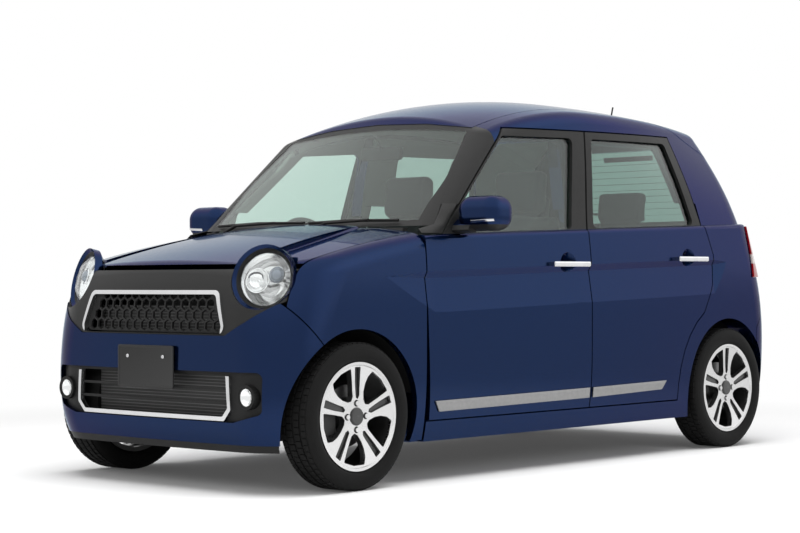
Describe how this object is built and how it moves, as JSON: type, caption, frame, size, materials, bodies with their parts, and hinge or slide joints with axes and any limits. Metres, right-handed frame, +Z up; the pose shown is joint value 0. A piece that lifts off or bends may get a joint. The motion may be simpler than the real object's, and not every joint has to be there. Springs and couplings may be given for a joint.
{
  "type": "kei car",
  "caption": "Small upright hatchback with round headlamps, opening doors, hood and tailgate, a fitted cabin, steered front wheels and free rear wheels.",
  "frame": {"origin": "on the ground under the middle of the car's length and width", "axes": "+X towards the car's front, +Y towards its left side, +Z up"},
  "size_m": [3.3951, 1.842, 1.6612],
  "materials": {
    "body_paint": "deep blue metallic under clear coat",
    "tinted_glass": "green-tinted glass",
    "clear_lens": "clear polished lens",
    "red_lens": "red lens",
    "black_plastic": "satin black",
    "bright_metal": "satin bright plating",
    "lamp_bowl": "dark bezel",
    "cabin_plastic": "grained",
    "seat_cloth": "woven cloth",
    "floor_metal": "dull underseal",
    "radiator_metal": "dull fins",
    "running_gear": "dull black",
    "exhaust_steel": "dull",
    "tyre_rubber": "matt",
    "alloy": "machined faces with dark pockets"
  },
  "bodies": {
    "shell": {"floor_pan": "floor_metal", "body_side_left": "body_paint", "body_side_right": "body_paint", "roof_panel": "body_paint", "windscreen": "tinted_glass", "front_fenders": "body_paint", "front_bumper": "body_paint", "face_panel": "black_plastic", "bright_trim": "bright_metal", "grilles": "black_plastic", "lamp_bowls": "lamp_bowl", "lamp_lenses": "clear_lens", "tail_lamps": "red_lens", "rear_bumper": "body_paint", "cowl": "black_plastic", "dashboard": "cabin_plastic", "front_seats": "seat_cloth", "rear_seat": "seat_cloth", "radiator": "radiator_metal", "engine_block": "running_gear", "front_suspension": "running_gear", "rear_axle": "running_gear", "exhaust": "exhaust_steel", "antenna": "black_plastic", "wheel_liners": "black_plastic", "wipers": "black_plastic"},
    "hood_lid": {"hood": "body_paint"},
    "tailgate_lid": {"tailgate": "body_paint", "tailgate_glass": "tinted_glass"},
    "steering_wheel_body": {"steering_wheel": "cabin_plastic"},
    "front_door_left": {"door_front_left": "body_paint", "glass_front_left": "tinted_glass", "handle_front_left": "bright_metal", "door_mirror_left": "body_paint"},
    "rear_door_left": {"door_rear_left": "body_paint", "glass_rear_left": "tinted_glass", "handle_rear_left": "bright_metal"},
    "knuckle_body_left": {"knuckle_left": "running_gear"},
    "front_wheel_left": {"tyre_front_left": "tyre_rubber", "rim_front_left": "alloy"},
    "rear_wheel_left": {"tyre_rear_left": "tyre_rubber", "rim_rear_left": "alloy"},
    "front_door_right": {"door_front_right": "body_paint", "glass_front_right": "tinted_glass", "handle_front_right": "bright_metal", "door_mirror_right": "body_paint"},
    "rear_door_right": {"door_rear_right": "body_paint", "glass_rear_right": "tinted_glass", "handle_rear_right": "bright_metal"},
    "knuckle_body_right": {"knuckle_right": "running_gear"},
    "front_wheel_right": {"tyre_front_right": "tyre_rubber", "rim_front_right": "alloy"},
    "rear_wheel_right": {"tyre_rear_right": "tyre_rubber", "rim_rear_right": "alloy"}
  },
  "joints": [
    {"name": "hood_hinge", "type": "hinge", "parent": "shell", "child": "hood_lid", "pos_m": [0.88, 0, 1.031], "axis": [0, -1, 0], "range_deg": [0, 55]},
    {"name": "tailgate_hinge", "type": "hinge", "parent": "shell", "child": "tailgate_lid", "pos_m": [-1.348, 0, 1.541], "axis": [0, 1, 0], "range_deg": [0, 75]},
    {"name": "front_door_left_hinge", "type": "hinge", "parent": "shell", "child": "front_door_left", "pos_m": [0.887, 0.744, 0.6], "axis": [0, 0.0523, -0.9986], "range_deg": [0, 65]},
    {"name": "rear_door_left_hinge", "type": "hinge", "parent": "shell", "child": "rear_door_left", "pos_m": [-0.173, 0.75, 0.6], "axis": [0, 0.0523, -0.9986], "range_deg": [0, 62]},
    {"name": "steer_left", "type": "hinge", "parent": "shell", "child": "knuckle_body_left", "pos_m": [1.2675, 0.615, 0.281], "axis": [0, 0, 1], "range_deg": [-35, 35]},
    {"name": "front_wheel_left_spin", "type": "hinge", "parent": "knuckle_body_left", "child": "front_wheel_left", "pos_m": [1.2675, 0.6525, 0.281], "axis": [0, 1, 0], "continuous": true},
    {"name": "rear_wheel_left_spin", "type": "hinge", "parent": "shell", "child": "rear_wheel_left", "pos_m": [-1.2525, 0.6525, 0.281], "axis": [0, 1, 0], "continuous": true},
    {"name": "front_door_right_hinge", "type": "hinge", "parent": "shell", "child": "front_door_right", "pos_m": [0.887, -0.744, 0.6], "axis": [0, 0.0523, 0.9986], "range_deg": [0, 65]},
    {"name": "rear_door_right_hinge", "type": "hinge", "parent": "shell", "child": "rear_door_right", "pos_m": [-0.173, -0.75, 0.6], "axis": [0, 0.0523, 0.9986], "range_deg": [0, 62]},
    {"name": "steer_right", "type": "hinge", "parent": "shell", "child": "knuckle_body_right", "pos_m": [1.2675, -0.615, 0.281], "axis": [0, 0, 1], "range_deg": [-35, 35]},
    {"name": "front_wheel_right_spin", "type": "hinge", "parent": "knuckle_body_right", "child": "front_wheel_right", "pos_m": [1.2675, -0.6525, 0.281], "axis": [0, 1, 0], "continuous": true},
    {"name": "rear_wheel_right_spin", "type": "hinge", "parent": "shell", "child": "rear_wheel_right", "pos_m": [-1.2525, -0.6525, 0.281], "axis": [0, 1, 0], "continuous": true},
    {"name": "steering_wheel_turn", "type": "hinge", "parent": "shell", "child": "steering_wheel_body", "pos_m": [0.47, -0.33, 0.9], "axis": [-0.9023, 0, 0.4311], "range_deg": [-495, 495]}
  ],
  "couplings": [
    {"joint": "steer_right", "follows": "steer_left", "ratio": 1},
    {"joint": "steering_wheel_turn", "follows": "steer_left", "ratio": 14}
  ]
}
